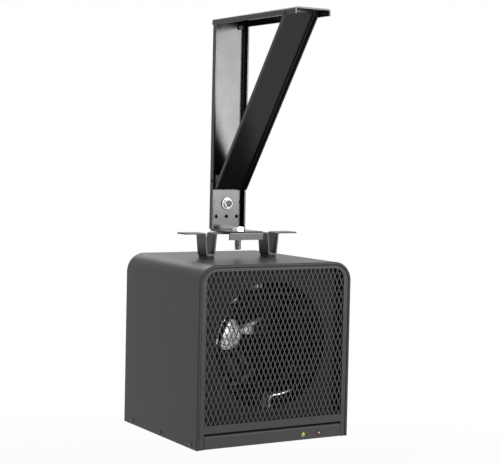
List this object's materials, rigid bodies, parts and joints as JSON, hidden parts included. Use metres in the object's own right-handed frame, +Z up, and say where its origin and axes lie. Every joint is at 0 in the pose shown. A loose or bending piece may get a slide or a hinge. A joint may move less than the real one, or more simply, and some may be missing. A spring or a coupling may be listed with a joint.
{
  "type": "ceiling mounted fan heater",
  "caption": "Electric fan heater in a sheet-metal casing with a mesh front, hung from a triangular ceiling bracket on one pivot bolt.",
  "frame": {"origin": "where the pivot bolt's axis meets the ceiling face of the arm", "axes": "+Z up towards the ceiling, -Y out of the mesh front, +X to the right seen from the front"},
  "size_m": [0.3478, 0.441, 0.834],
  "materials": {
    "bracket_black": "semi-gloss black paint",
    "casing_black": "fine textured black powder coat",
    "mesh_black": "satin black powder coat",
    "inner_black": "matt black paint",
    "guard_wire": "satin black coated wire",
    "screw_black": "black oxide",
    "zinc": "bright zinc plate",
    "galvanised": "galvanised sheet",
    "steel": "ground steel",
    "element_steel": "heat-tinted stainless tube",
    "aluminium": "bright pressed sheet",
    "motor_grey": "grey lacquer",
    "ceramic_white": "unglazed",
    "cream_plastic": "moulded phenolic",
    "black_plastic": "moulded",
    "board": "glass-fibre board",
    "pad_rubber": "moulded",
    "lens_amber": "clear tinted lens",
    "lens_red": "clear tinted lens"
  },
  "bodies": {
    "bracket": {"mast_channel": "bracket_black", "ceiling_arm": "bracket_black", "brace_channel": "bracket_black", "foot_bracket": "bracket_black", "arm_screws": "bracket_black", "brace_rivets": "bracket_black", "foot_rivets": "screw_black", "mast_bolt": "zinc", "mast_washer": "zinc", "mast_nut": "zinc", "pivot_bolt": "zinc", "pivot_washer": "zinc", "pivot_nut": "zinc"},
    "heater": {"yoke_strap": "bracket_black", "yoke_pads": "pad_rubber", "yoke_screws": "screw_black", "yoke_nuts": "zinc", "yoke_doubler": "galvanised", "casing": "casing_black", "base_pan": "casing_black", "edge_screws": "screw_black", "rear_panel": "casing_black", "rear_screws": "screw_black", "intake_guard": "guard_wire", "front_bezel": "casing_black", "front_grille": "mesh_black", "control_strip": "casing_black", "strip_seal": "pad_rubber", "lens_amber": "lens_amber", "lens_red": "lens_red", "control_board": "board", "baffle_plate": "inner_black", "element_outer": "element_steel", "element_inner": "element_steel", "element_clips": "galvanised", "element_bushings": "ceramic_white", "fan_shroud": "inner_black", "motor_bracket": "galvanised", "motor_screws": "zinc", "fan_motor": "motor_grey", "thermal_cutout": "zinc", "wiring_cover": "galvanised", "terminal_block": "cream_plastic", "power_relay": "black_plastic", "thermostat_body": "cream_plastic", "cable_gland": "black_plastic", "gland_nut": "black_plastic"},
    "fan": {"motor_shaft": "steel", "fan_hub": "aluminium", "fan_blades": "aluminium", "hub_nut": "zinc"},
    "knob": {"thermostat_knob": "black_plastic"}
  },
  "joints": [
    {"name": "pan_swivel", "type": "hinge", "parent": "bracket", "child": "heater", "pos_m": [0, 0, -0.4325], "axis": [0, 0, 1], "range_deg": [-16, 16]},
    {"name": "fan_spin", "type": "hinge", "parent": "heater", "child": "fan", "pos_m": [0, 0, -0.646], "axis": [0, -1, 0], "continuous": true},
    {"name": "thermostat_turn", "type": "hinge", "parent": "heater", "child": "knob", "pos_m": [-0.112, 0.159, -0.814], "axis": [0, 1, 0], "range_deg": [0, 300]}
  ]
}
